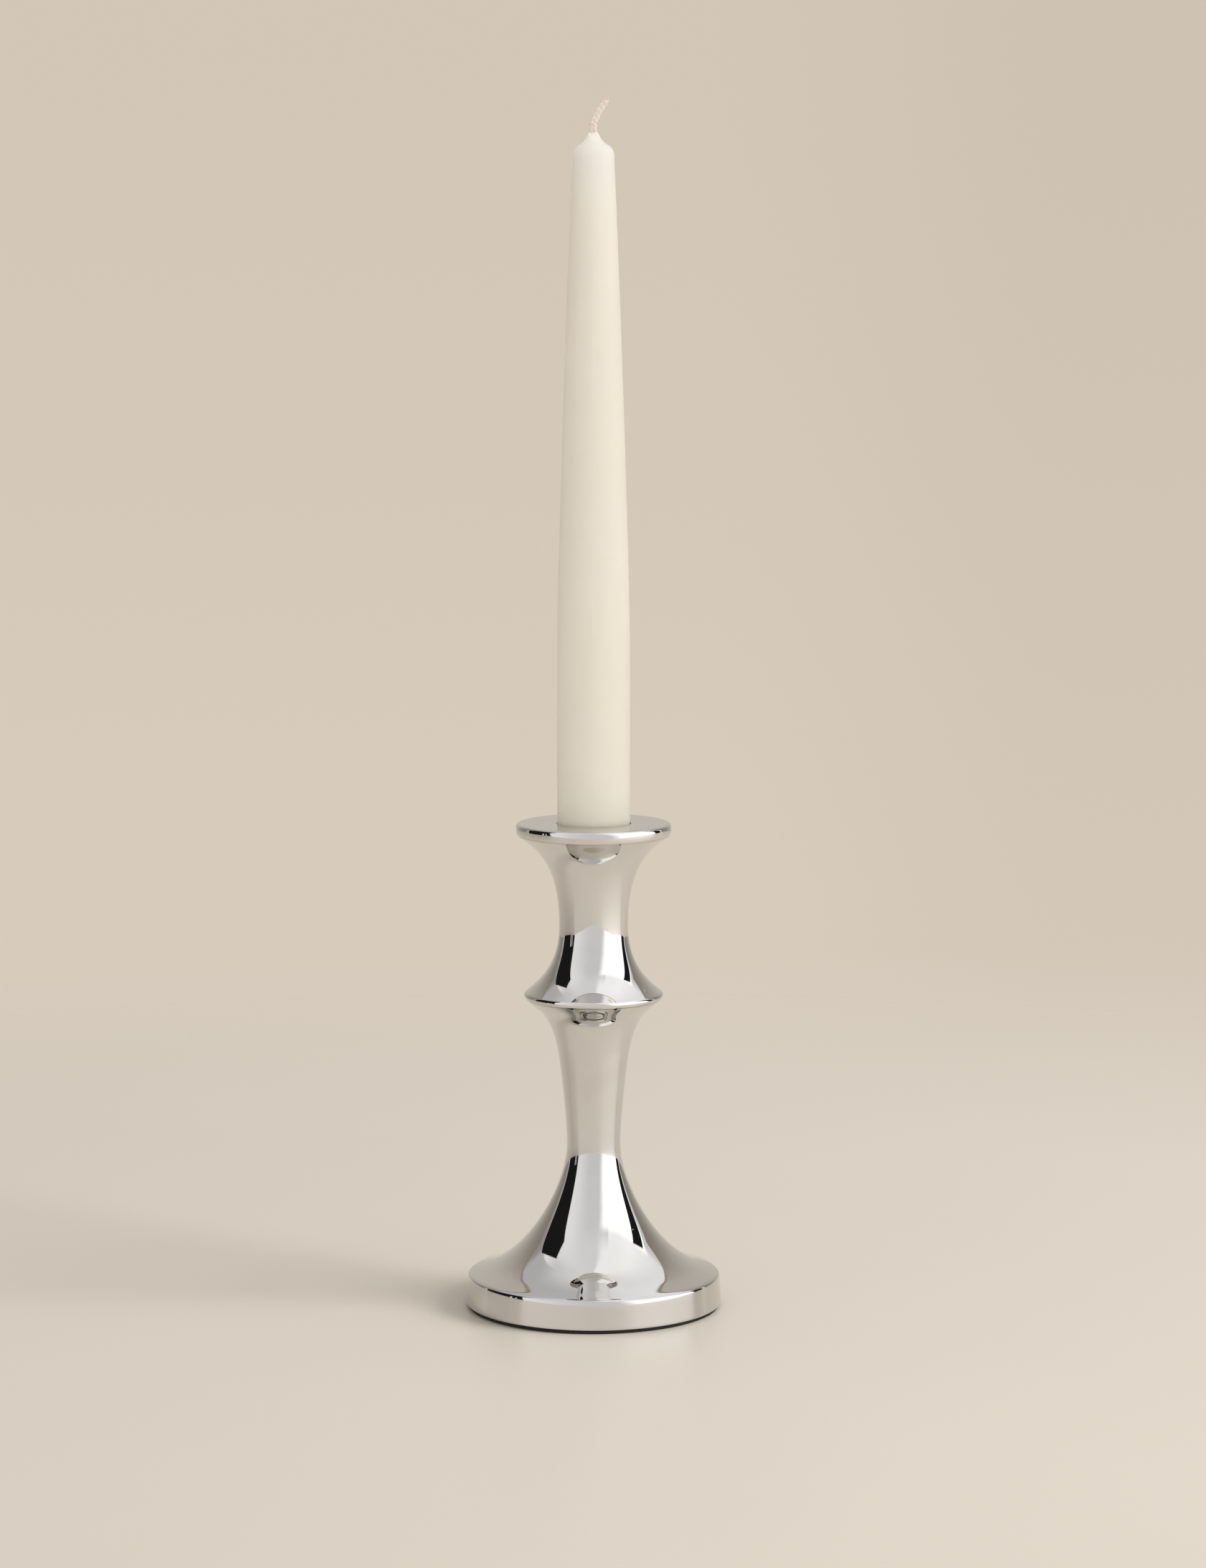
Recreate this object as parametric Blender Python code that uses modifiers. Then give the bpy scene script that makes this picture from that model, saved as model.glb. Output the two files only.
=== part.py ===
"""Turned silver candlestick with one dinner candle, held together by a bolt through its axis.

Metres, +Z up. The origin is the centre of the pad's underside, on the axis of the turning.
Lengths below are in millimetres and are scaled once, where a mesh or an object is made.
"""

import math

import bmesh
import bpy

MM = 0.001
FIT = 0.3                 # gap between pieces that touch
MERGE = 0.00001           # metres; well under the smallest edge
ROUND = 48                # sides of the large turned pieces
ROUND_SMALL = 32          # sides of bolts, washers and the ballast

# Overall heights
PAD_TOP = 0.9
BAND_BOTTOM = PAD_TOP + FIT
CREASE_Z = 9.8            # where the upright band meets the bell
KNOP_SEAM_Z = 95.3        # joint between the two castings, under the knop's rounded edge
PAN_UNDERSIDE_Z = 145.3
PAN_TOP_Z = 148.7
CANDLE_STRAIGHT_TOP = 201.0
CANDLE_SHOULDER_Z = 349.6
CANDLE_TOP_Z = 355.0
WICK_TOP_Z = 365.6

# Outside radii of the metalwork
BAND_BOTTOM_R = 39.1
BAND_TOP_R = 38.3
SHOULDER_START = (32.9, 12.0)
WAIST_R = 8.18
WAIST_Z = 50.0
NECK_R = 10.47
KNOP_EDGE_R = 1.19        # rounding of the knop's edge
KNOP_CENTRE = (19.96, 96.03)
RIM_R = 23.53             # the pan's rim at its widest
RIM_WIDEST_Z = 147.1

# Castings
BELL_WALL = 3.2
REBATE_R = 36.0           # recess in the foot that takes the cover
REBATE_TOP_Z = 3.5
LEDGE_R = 34.6
BELL_HOLLOW_TOP_Z = 44.0
SPIGOT_R = 14.2
SPIGOT_TOP_Z = 97.2
CORE_R = 11.0             # mouth of the hollow in each flare at the knop

# Candle socket
SOCKET_MOUTH_R = 11.35
SOCKET_FLOOR_R = 10.5
SOCKET_FLOOR_Z = 134.5
SOCKET_WALL = 0.9
SHELL = 1.2               # thickness of the socket's floor
WELL_R = 6.8              # recess for the bolt's head
WELL_FLOOR_Z = 129.6

# Bolt M6 and what is on it
BOLT_R = 3.0
BOLT_HOLE_R = BOLT_R + 0.4
BOLT_END_Z = 4.4
HEAD_R = 5.25
HEAD_HEIGHT = 3.2
SOCKET_KEY_FLATS = 4.0
SOCKET_KEY_DEPTH = 2.0
HEAD_WASHER = (6.0, 1.0)          # outer radius, thickness
PLATE_WASHER = (12.0, 1.5)
SPRING_WASHER = (5.6, 1.6)
NUT_FLATS = 10.0
NUT_HEIGHT = 5.0
NUT_BOTTOM_Z = 5.2

# Ballast
BALLAST_FIT = 0.5
BALLAST_BOTTOM_Z = 4.4
BALLAST_TOP_Z = 32.0
BALLAST_RECESS_R = 12.8

# Foot cover and pad
COVER_THICKNESS = 2.0
PAD_R = 38.3

# Candle
CANDLE_R = 11.0
CANDLE_TAPER = 4.83       # how much the radius has lost at the shoulder
CANDLE_TAPER_POWER = 1.3
BUTT_R = 10.15            # radius at the candle's lower end
BUTT_CHAMFER = 0.6
WICK_R = 1.15
WICK_LEAN = 3.7           # sideways reach of the wick's tip


def cubic(start, pull_start, pull_end, end, count):
    """Points along a cubic curve, both ends included."""
    points = []
    for i in range(count + 1):
        t = i / count
        weights = ((1 - t) ** 3, 3 * (1 - t) ** 2 * t, 3 * (1 - t) * t * t, t ** 3)
        handles = (start, pull_start, pull_end, end)
        points.append(tuple(sum(w * p[axis] for w, p in zip(weights, handles)) for axis in (0, 1)))
    return points


def arc(centre, radius, start_degrees, end_degrees, count):
    """Points along an arc; 0 degrees points outward and 90 degrees up."""
    points = []
    for i in range(count + 1):
        angle = math.radians(start_degrees + (end_degrees - start_degrees) * i / count)
        points.append((centre[0] + radius * math.cos(angle), centre[1] + radius * math.sin(angle)))
    return points


def inset(points, distance):
    """The same run of points, moved into the metal by a distance; the run goes top to bottom."""
    moved = []
    for i, (radius, height) in enumerate(points):
        before = points[max(i - 1, 0)]
        after = points[min(i + 1, len(points) - 1)]
        along = (after[0] - before[0], after[1] - before[1])
        length = math.hypot(*along)
        moved.append((radius + along[1] / length * distance, height - along[0] / length * distance))
    return moved


# Outer outlines of the metalwork, each running top to bottom

def rim_outline():
    """The pan's rim: a quick rounding at the top, a nearly upright face and a softer lower edge."""
    widest = (RIM_R, RIM_WIDEST_Z)
    upper = cubic((22.0, PAN_TOP_Z), (23.3, PAN_TOP_Z), (RIM_R, 148.3), widest, 5)
    lower = cubic(widest, (RIM_R, 146.2), (23.4, 145.6), (23.1, PAN_UNDERSIDE_Z), 4)
    return upper + lower[1:]


def neck_outline():
    """From under the pan's rim, in to the neck and out to the knop's upper edge."""
    neck = (NECK_R, 117.3)
    under_pan = cubic((22.8, 145.0), (17.8, 140.8), (NECK_R, 137.1), neck, 13)
    flare = cubic(neck, (NECK_R, 107.4), (14.6, 101.55), (20.68, 96.98), 12)
    return under_pan + flare[1:]


def knop_outline():
    """The rounded edge of the knop, down to the joint between the castings."""
    seam_angle = -math.degrees(math.asin((KNOP_CENTRE[1] - KNOP_SEAM_Z - FIT / 2) / KNOP_EDGE_R))
    return arc(KNOP_CENTRE, KNOP_EDGE_R, 53, seam_angle, 5)


def lower_stem_outline():
    """From the knop's underside down to the waist."""
    fillet = cubic((20.6, 95.0), (16.17, 90.39), (13.73, 91.19), (11.0, 79.5), 11)
    stem = cubic((11.0, 79.5), (10.55, 77.55), (WAIST_R, 58.9), (WAIST_R, WAIST_Z), 7)
    return fillet + stem[1:]


def bell_outline():
    """From the waist out to where the bell turns over into its shoulder."""
    return cubic((WAIST_R, WAIST_Z), (WAIST_R, 38.3), (18.84, 17.5), SHOULDER_START, 15)


def shoulder_outline():
    """The bell's edge rolls over into a shoulder, a fine crease, and the band that leans out a little."""
    crease = (BAND_TOP_R, CREASE_Z)
    shoulder = cubic(SHOULDER_START, (36.2, 10.7), (37.65, 10.45), crease, 6)
    band = cubic(crease, (38.6, 9.2), (38.62, 8.2), (BAND_BOTTOM_R, BAND_BOTTOM + 0.4), 6)
    return shoulder[1:] + band[1:] + [(BAND_BOTTOM_R - 0.3, BAND_BOTTOM)]


def bell_hollow(distance, top_z):
    """The bell's outline moved inwards, below a height, top to bottom."""
    return [point for point in inset(bell_outline(), distance) if point[1] < top_z]


# Heights of the stack on the bolt's lower end

def nut_top():
    return NUT_BOTTOM_Z + NUT_HEIGHT


def plate_washer_bottom():
    return nut_top() + FIT + SPRING_WASHER[1] + FIT


def ballast_recess_top():
    return plate_washer_bottom() + PLATE_WASHER[1] + FIT


# Making objects

def clear_scene():
    for item in list(bpy.data.objects):
        bpy.data.objects.remove(item, do_unlink=True)


def new_collection(name):
    collection = bpy.data.collections.new(name)
    bpy.context.scene.collection.children.link(collection)
    return collection


def material(name, colour, metallic, roughness):
    made = bpy.data.materials.new(name)
    made.use_nodes = True
    shader = made.node_tree.nodes["Principled BSDF"]
    shader.inputs["Base Color"].default_value = (*colour, 1.0)
    shader.inputs["Metallic"].default_value = metallic
    shader.inputs["Roughness"].default_value = roughness
    return made


def add_object(name, data, collection, finish=None):
    made = bpy.data.objects.new(name, data)
    collection.objects.link(made)
    if finish:
        data.materials.append(finish)
    return made


def turned(name, outline, collection, finish, sides=ROUND):
    """A piece turned about the Z axis. A closed ring outline leaves a bore along the axis."""
    ring = outline[0][0] > 0
    points = [(radius * MM, 0.0, height * MM) for radius, height in outline]
    edges = [(i, i + 1) for i in range(len(points) - 1)]
    if ring:
        edges.append((len(points) - 1, 0))
    mesh = bpy.data.meshes.new(name)
    mesh.from_pydata(points, edges, [])
    made = add_object(name, mesh, collection, finish)
    screw = made.modifiers.new("turn", "SCREW")
    screw.axis = "Z"
    screw.steps = screw.render_steps = sides
    screw.use_merge_vertices = True
    screw.merge_threshold = MERGE
    return made


def washer(name, size, hole_r, bottom_z, collection, finish):
    outer_r, thickness = size
    top_z = bottom_z + thickness
    outline = [(hole_r, top_z), (outer_r, top_z), (outer_r, bottom_z), (hole_r, bottom_z)]
    return turned(name, outline, collection, finish, ROUND_SMALL)


def prism(name, radius, bottom_z, height, sides, collection, finish=None):
    """An upright prism or cylinder on the axis, from a cone with equal ends."""
    mesh = bpy.data.meshes.new(name)
    shape = bmesh.new()
    bmesh.ops.create_cone(shape, cap_ends=True, segments=sides, depth=height * MM,
                          radius1=radius * MM, radius2=radius * MM)
    shape.to_mesh(mesh)
    shape.free()
    made = add_object(name, mesh, collection, finish)
    made.location.z = (bottom_z + height / 2) * MM
    return made


def cut(target, cutter):
    """Take the cutter's shape out of the target, and hide the cutter."""
    cutter.hide_render = True
    cutter.display_type = "WIRE"
    difference = target.modifiers.new("cut_" + cutter.name, "BOOLEAN")
    difference.operation = "DIFFERENCE"
    difference.solver = "EXACT"
    difference.object = cutter


# The pieces

def make_drip_pan(parts, finish):
    """Flat pan, rounded rim, and the socket with a well for the bolt's head."""
    cup_outside = [
        (SOCKET_MOUTH_R + SOCKET_WALL - 0.2, PAN_UNDERSIDE_Z),
        (SOCKET_FLOOR_R + SOCKET_WALL, SOCKET_FLOOR_Z - SHELL),
        (WELL_R + SOCKET_WALL, SOCKET_FLOOR_Z - SHELL),
        (WELL_R + SOCKET_WALL, WELL_FLOOR_Z - SHELL),
        (BOLT_HOLE_R, WELL_FLOOR_Z - SHELL),
    ]
    cup_inside = [
        (BOLT_HOLE_R, WELL_FLOOR_Z),
        (WELL_R, WELL_FLOOR_Z),
        (WELL_R, SOCKET_FLOOR_Z),
        (SOCKET_FLOOR_R, SOCKET_FLOOR_Z),
        (SOCKET_MOUTH_R, PAN_TOP_Z),
    ]
    return turned("drip_pan", rim_outline() + cup_outside + cup_inside, parts, finish)


def make_upper_stem(parts, finish):
    """Casting between the pan and the knop, bored for the bolt and hollowed for the socket."""
    below = [
        (SPIGOT_R + FIT, KNOP_SEAM_Z + FIT / 2),
        (SPIGOT_R + FIT, SPIGOT_TOP_Z + FIT),
        (CORE_R, SPIGOT_TOP_Z + FIT),
        (BOLT_HOLE_R, 110.0),
    ]
    well_clear = WELL_R + SOCKET_WALL + FIT
    cup_clear = SOCKET_FLOOR_R + SOCKET_WALL + FIT
    above = [
        (BOLT_HOLE_R, WELL_FLOOR_Z - SHELL - FIT),
        (well_clear, WELL_FLOOR_Z - SHELL - FIT),
        (well_clear, SOCKET_FLOOR_Z - SHELL - FIT),
        (cup_clear, SOCKET_FLOOR_Z - SHELL - FIT),
        (cup_clear + 0.9, 140.0),
        (18.6, PAN_UNDERSIDE_Z - FIT),
    ]
    outline = neck_outline() + knop_outline() + below + above
    return turned("upper_stem", outline, parts, finish)


def make_bell_foot(parts, finish):
    """Casting from the knop's underside to the foot, hollow below and open underneath."""
    seam_z = KNOP_SEAM_Z - FIT
    spigot = [(CORE_R, SPIGOT_TOP_Z), (SPIGOT_R, SPIGOT_TOP_Z), (SPIGOT_R, seam_z)]
    outside = lower_stem_outline() + bell_outline()[1:] + shoulder_outline()
    foot = [
        (REBATE_R, BAND_BOTTOM),
        (REBATE_R, REBATE_TOP_Z),
        (LEDGE_R, REBATE_TOP_Z),
        (LEDGE_R, 7.0),
    ]
    hollow = list(reversed(bell_hollow(BELL_WALL, BELL_HOLLOW_TOP_Z)))
    bore = [(BOLT_HOLE_R, BELL_HOLLOW_TOP_Z), (BOLT_HOLE_R, 84.0)]
    return turned("bell_foot", spigot + outside + foot + hollow + bore, parts, finish)


def make_ballast(parts, finish):
    """Iron weight that fills the bell, recessed underneath for the washers and the nut."""
    outside = bell_hollow(BELL_WALL + BALLAST_FIT, BALLAST_TOP_Z)
    hole_r = BOLT_R + 0.6
    side_r = outside[-1][0]
    outline = [(hole_r, outside[0][1])] + outside + [
        (side_r, BALLAST_BOTTOM_Z),
        (BALLAST_RECESS_R, BALLAST_BOTTOM_Z),
        (BALLAST_RECESS_R, ballast_recess_top()),
        (hole_r, ballast_recess_top()),
    ]
    return turned("ballast_weight", outline, parts, finish, ROUND_SMALL)


def make_tie_bolt(parts, cutters, finish):
    """Long bolt with a button head and a hexagonal key socket."""
    under_head = WELL_FLOOR_Z + FIT + HEAD_WASHER[1] + FIT
    head_top = under_head + HEAD_HEIGHT
    crown = cubic((2.4, head_top), (4.0, head_top), (HEAD_R, head_top - 1.2), (HEAD_R, under_head + 0.4), 5)
    outline = [(0, head_top)] + crown + [
        (HEAD_R, under_head),
        (BOLT_R, under_head),
        (BOLT_R, BOLT_END_Z + 0.6),
        (BOLT_R - 0.6, BOLT_END_Z),
        (0, BOLT_END_Z),
    ]
    bolt = turned("tie_bolt", outline, parts, finish, ROUND_SMALL)
    key_r = SOCKET_KEY_FLATS / 2 / math.cos(math.pi / 6)
    depth = SOCKET_KEY_DEPTH
    key = prism("key_socket_cutter", key_r, head_top - depth, depth + 1.0, 6, cutters)
    cut(bolt, key)
    return bolt


def make_spring_washer(parts, cutters, finish):
    """Split ring; the slit is cut by a thin upright blade."""
    ring = washer("spring_washer", SPRING_WASHER, BOLT_R + FIT, nut_top() + FIT, parts, finish)
    blade = prism("washer_slit_cutter", 0.6, nut_top() - 1.0, 4.0, 4, cutters)
    blade.scale.x = 6.0
    blade.location.x = SPRING_WASHER[0] * MM
    cut(ring, blade)
    return ring


def make_clamp_nut(parts, cutters, finish):
    nut_r = NUT_FLATS / 2 / math.cos(math.pi / 6)
    nut = prism("clamp_nut", nut_r, NUT_BOTTOM_Z, NUT_HEIGHT, 6, parts, finish)
    bore = prism("nut_bore_cutter", BOLT_R + FIT, NUT_BOTTOM_Z - 1.0, NUT_HEIGHT + 2.0, ROUND_SMALL, cutters)
    cut(nut, bore)
    return nut


def disc(name, radius, bottom_z, top_z, parts, finish):
    return turned(name, [(0, top_z), (radius, top_z), (radius, bottom_z), (0, bottom_z)], parts, finish)


def candle_radius(height):
    """The candle is straight above the socket, then narrows faster and faster."""
    share = max(0.0, (height - CANDLE_STRAIGHT_TOP) / (CANDLE_SHOULDER_Z - CANDLE_STRAIGHT_TOP))
    return CANDLE_R - CANDLE_TAPER * share ** CANDLE_TAPER_POWER


def make_candle_wax(parts, finish):
    """Dinner candle with a hole for the wick and a tapered butt in the socket."""
    hole_r = WICK_R + FIT
    butt_z = SOCKET_FLOOR_Z + FIT
    shoulder_r = candle_radius(CANDLE_SHOULDER_Z)
    crown = cubic((5.0, 352.5), (5.5, 352.0), (shoulder_r, 351.2), (shoulder_r, CANDLE_SHOULDER_Z), 4)
    taper = []
    stations = 10
    for i in range(1, stations + 1):
        height = CANDLE_SHOULDER_Z + (CANDLE_STRAIGHT_TOP - CANDLE_SHOULDER_Z) * i / stations
        taper.append((candle_radius(height), height))
    butt = [(CANDLE_R, PAN_TOP_Z + 0.5), (BUTT_R, butt_z + BUTT_CHAMFER), (BUTT_R - BUTT_CHAMFER, butt_z)]
    outline = [(hole_r, CANDLE_TOP_Z)] + crown + taper + butt + [(hole_r, butt_z)]
    return turned("candle_wax", outline, parts, finish, ROUND_SMALL)


def make_candle_wick(parts, finish):
    """Straight through the wax, then leaning over at its free tip."""
    crown_z = CANDLE_TOP_Z
    free = WICK_TOP_Z - crown_z
    route = [(0.0, SOCKET_FLOOR_Z + 2 * FIT), (0.0, crown_z)]
    for i in range(1, 6):
        share = i / 5
        route.append((WICK_LEAN * share ** 1.8, crown_z + (free - WICK_R * 0.4) * share))
    curve = bpy.data.curves.new("candle_wick", "CURVE")
    curve.dimensions = "3D"
    curve.bevel_depth = WICK_R * MM
    curve.bevel_resolution = 2
    curve.use_fill_caps = True
    spline = curve.splines.new("POLY")
    spline.points.add(len(route) - 1)
    for point, (x, z) in zip(spline.points, route):
        point.co = (x * MM, 0.0, z * MM, 1.0)
    return add_object("candle_wick", curve, parts, finish)


def build():
    clear_scene()
    parts = new_collection("candlestick")
    cutters = new_collection("cutters")
    plating = (0.86, 0.85, 0.83)

    make_drip_pan(parts, material("drip_pan_plating", plating, 1.0, 0.06))
    make_upper_stem(parts, material("upper_stem_plating", plating, 1.0, 0.06))
    make_bell_foot(parts, material("bell_foot_plating", plating, 1.0, 0.06))

    steel = (0.62, 0.63, 0.65)
    make_tie_bolt(parts, cutters, material("tie_bolt_steel", steel, 1.0, 0.3))
    washer("head_washer", HEAD_WASHER, BOLT_R + FIT, WELL_FLOOR_Z + FIT, parts,
           material("head_washer_steel", steel, 1.0, 0.3))
    washer("plate_washer", PLATE_WASHER, BOLT_R + FIT, plate_washer_bottom(), parts,
           material("plate_washer_steel", steel, 1.0, 0.35))
    make_spring_washer(parts, cutters, material("spring_washer_steel", (0.35, 0.35, 0.36), 1.0, 0.4))
    make_clamp_nut(parts, cutters, material("clamp_nut_steel", steel, 1.0, 0.3))
    make_ballast(parts, material("ballast_iron", (0.16, 0.15, 0.15), 0.6, 0.7))

    disc("foot_cover", REBATE_R - FIT, BAND_BOTTOM, BAND_BOTTOM + COVER_THICKNESS, parts,
         material("foot_cover_board", (0.22, 0.14, 0.08), 0.0, 0.8))
    disc("foot_pad", PAD_R, 0.0, PAD_TOP, parts, material("foot_pad_foam", (0.015, 0.015, 0.015), 0.0, 0.9))

    make_candle_wax(parts, material("candle_wax_ivory", (0.83, 0.78, 0.65), 0.0, 0.45))
    make_candle_wick(parts, material("candle_wick_cotton", (0.9, 0.89, 0.85), 0.0, 0.9))


build()
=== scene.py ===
# %% [markdown]
# # A turned silver candlestick with a dinner candle
# The real object is three polished, nickel-plated castings that a long bolt pulls together:
# a flat drip pan, a waisted stem, and a bell-shaped foot with an iron weight inside it.
# A tapered candle of ivory wax stands in the socket of the pan.
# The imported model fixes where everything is. This script dresses it with finer pieces and
# finishes, and sets up a small studio round it.

# %% Load the frame
import math
import random

import bpy
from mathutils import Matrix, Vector, noise


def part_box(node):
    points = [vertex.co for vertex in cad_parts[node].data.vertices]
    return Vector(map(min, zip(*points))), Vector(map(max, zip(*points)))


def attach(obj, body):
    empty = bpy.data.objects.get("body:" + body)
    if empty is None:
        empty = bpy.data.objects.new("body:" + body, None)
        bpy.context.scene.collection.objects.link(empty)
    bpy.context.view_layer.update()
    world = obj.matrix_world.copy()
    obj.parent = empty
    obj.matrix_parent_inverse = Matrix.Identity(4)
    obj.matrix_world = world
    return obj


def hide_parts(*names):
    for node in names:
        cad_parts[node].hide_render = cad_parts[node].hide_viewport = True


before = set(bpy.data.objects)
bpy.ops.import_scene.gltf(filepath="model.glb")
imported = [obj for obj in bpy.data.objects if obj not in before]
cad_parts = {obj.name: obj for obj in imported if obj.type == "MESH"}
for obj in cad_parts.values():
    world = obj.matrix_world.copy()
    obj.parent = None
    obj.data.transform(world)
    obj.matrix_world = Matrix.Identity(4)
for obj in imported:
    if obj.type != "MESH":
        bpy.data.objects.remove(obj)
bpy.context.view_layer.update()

# %% [markdown]
# ## Working in millimetres
# A turner thinks in millimetres, and Blender's scene here is in metres. Every size of a piece
# below is written in millimetres and scaled once, in the function that makes the mesh. Only the
# paper and the lamps are set out in metres.
# The main heights are read from the frame, so that a changed model moves the fine pieces too.

# %% Sizes that the frame gives
MM = 0.001


def low(node):
    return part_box(node)[0].z / MM


def high(node):
    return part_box(node)[1].z / MM


def radius_of(node):
    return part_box(node)[1].x / MM


PAN_TOP = high("drip_pan")
PAN_R = radius_of("drip_pan")
FOOT_R = radius_of("bell_foot")
PAD_TOP = high("foot_pad")
PAD_R = radius_of("foot_pad")
WAX_TOP = high("candle_wax")
WAX_FLOOR = low("candle_wax")
WICK_TOP = high("candle_wick")
print(f"pan top {PAN_TOP:.1f}, pan radius {PAN_R:.2f}, foot radius {FOOT_R:.2f}")
print(f"wax from {WAX_FLOOR:.1f} to {WAX_TOP:.1f}, wick up to {WICK_TOP:.1f}")

# %% [markdown]
# ## Outlines
# On the lathe a shape is one line, turned about an axis. Four helpers draw all the lines here:
# a cubic curve for the long sweeps, an arc for a rounded edge, a run of corners that are softened,
# and a line set in from another one for the inside of a wall. A polished surface shows every kink
# in its reflections, so the runs have many more points than the CAD needed.

# %% Curves for an outline
def cubic(start, pull_start, pull_end, end, count):
    """Points along a cubic curve, both ends included."""
    points = []
    for i in range(count + 1):
        t = i / count
        weights = ((1 - t) ** 3, 3 * (1 - t) ** 2 * t, 3 * (1 - t) * t * t, t ** 3)
        handles = (start, pull_start, pull_end, end)
        points.append(tuple(sum(w * p[axis] for w, p in zip(weights, handles)) for axis in (0, 1)))
    return points


def arc(centre, radius, first, last, count):
    """Points along an arc, in degrees; 0 points outward and 90 up."""
    angles = [math.radians(first + (last - first) * i / count) for i in range(count + 1)]
    return [(centre[0] + radius * math.cos(a), centre[1] + radius * math.sin(a)) for a in angles]


def softened(corners, radius, count=3):
    """A run of corners with each inner corner rounded off."""
    run = [corners[0]]
    for before, corner, after in zip(corners, corners[1:], corners[2:]):
        here, back, on = Vector(corner), Vector(before), Vector(after)
        reach = min(radius, (back - here).length * 0.45, (on - here).length * 0.45)
        start = here + (back - here).normalized() * reach
        end = here + (on - here).normalized() * reach
        run += cubic(tuple(start), tuple(here), tuple(here), tuple(end), count)
    return run + [corners[-1]]


def inset(points, distance):
    """The same run moved into the metal; the run goes top to bottom along the outside."""
    moved = []
    for i, (radius, height) in enumerate(points):
        before, after = points[max(i - 1, 0)], points[min(i + 1, len(points) - 1)]
        along = (after[0] - before[0], after[1] - before[1])
        length = math.hypot(*along)
        moved.append((radius + along[1] / length * distance, height - along[0] / length * distance))
    return moved


# %% [markdown]
# ## Turning an outline into a mesh
# Blender's Screw modifier would turn an outline, and it is what the CAD used. Here the rings are
# laid out in code instead, because then each ring can be a touch out of true. Castings that are
# ground and buffed by hand are never perfect, and a hundredth of a millimetre is enough to make
# the edge of a reflection waver as it does on the real thing.

# %% Build rings of vertices
def wave(radius, angle, height, size, seed):
    """Smooth noise between about -1 and 1, on the piece's own surface; size is in millimetres."""
    spot = Vector((radius * math.cos(angle), radius * math.sin(angle), height)) / size
    return noise.noise(spot + Vector((seed * 7.3, seed * 1.9, seed * 4.1)))


def turn(name, outline, sides=256, closed=True, shape=None):
    """A mesh turned about Z. An outline that starts off the axis is a ring with a bore.

    shape(radius, angle, height) may give a new (radius, height) for each vertex.
    """
    vertices, rings = [], []
    for radius, height in outline:
        if radius < 1e-6:
            rings.append([len(vertices)] * sides)
            vertices.append((0.0, 0.0, height * MM))
            continue
        rings.append(list(range(len(vertices), len(vertices) + sides)))
        for i in range(sides):
            angle = math.tau * i / sides
            r, z = shape(radius, angle, height) if shape else (radius, height)
            vertices.append((r * math.cos(angle) * MM, r * math.sin(angle) * MM, z * MM))
    pairs = list(zip(rings, rings[1:]))
    if closed and outline[0][0] > 1e-6:
        pairs.append((rings[-1], rings[0]))
    faces = []
    for upper, lower in pairs:
        for i in range(sides):
            k = (i + 1) % sides
            corners = [upper[i], lower[i], lower[k], upper[k]]
            faces.append([v for n, v in enumerate(corners) if v not in corners[:n]])
    return finish_mesh(name, vertices, faces)


def finish_mesh(name, vertices, faces, crease_degrees=32.0):
    """A mesh object with smooth shading, kept crisp where two faces meet sharply."""
    mesh = bpy.data.meshes.new(name)
    mesh.from_pydata(vertices, [], faces)
    mesh.validate()
    mesh.polygons.foreach_set("use_smooth", [True] * len(mesh.polygons))
    mesh.set_sharp_from_angle(angle=math.radians(crease_degrees))
    made = bpy.data.objects.new(name, mesh)
    bpy.context.scene.collection.objects.link(made)
    print(f"{name}: {len(mesh.vertices)} vertices, {len(mesh.polygons)} faces")
    return made


# %% [markdown]
# ## Dressing the model
# The imported model says which parts move together as one body. Each fine piece rides on the body of
# the plain solid that it replaces, so that it moves with it, and it gets its finish as its only material.

# %% Place a piece on its body, with its finish
def dress(piece, body, slot, finish, *nodes):
    piece.data.materials.clear()
    piece.data.materials.append(finish)
    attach(piece, body)
    if nodes:
        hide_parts(*nodes)
    return piece


# %% [markdown]
# ## A few words for wiring nodes
# Shader trees are easier to read as short calls. `put` adds a node and feeds its sockets, `calc`
# is one Math node, `ease` is a smooth step between two values, and `mix` blends two colours.

# %% Helpers for node trees
def feed(tree, socket, value):
    """Link a socket to the input, or set the input to a plain value."""
    if isinstance(value, bpy.types.NodeSocket):
        tree.links.new(value, socket)
    else:
        socket.default_value = value


def put(tree, kind, inputs=None, **settings):
    node = tree.nodes.new("ShaderNode" + kind)
    for key, value in settings.items():
        setattr(node, key, value)
    for key, value in (inputs or {}).items():
        feed(tree, node.inputs[key], value)
    return node


def calc(tree, operation, first, second=0.0, clamp=False):
    node = put(tree, "Math", {0: first, 1: second}, operation=operation, use_clamp=clamp)
    return node.outputs[0]


def ease(tree, value, start, end, low_value=0.0, high_value=1.0):
    ends = {"Value": value, "From Min": start, "From Max": end, "To Min": low_value, "To Max": high_value}
    return put(tree, "MapRange", ends, interpolation_type="SMOOTHSTEP").outputs[0]


def mix(tree, factor, first, second, blend="MIX"):
    node = put(tree, "Mix", {0: factor, 6: first, 7: second}, data_type="RGBA", blend_type=blend)
    return node.outputs[2]


def cloud(tree, place, scale, detail=2.0, roughness=0.5, distortion=0.0):
    """One Noise Texture, whose value runs from 0 to 1."""
    settings = {"Vector": place, "Scale": scale, "Detail": detail, "Roughness": roughness,
                "Distortion": distortion}
    return put(tree, "TexNoise", settings).outputs[0]


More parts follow.
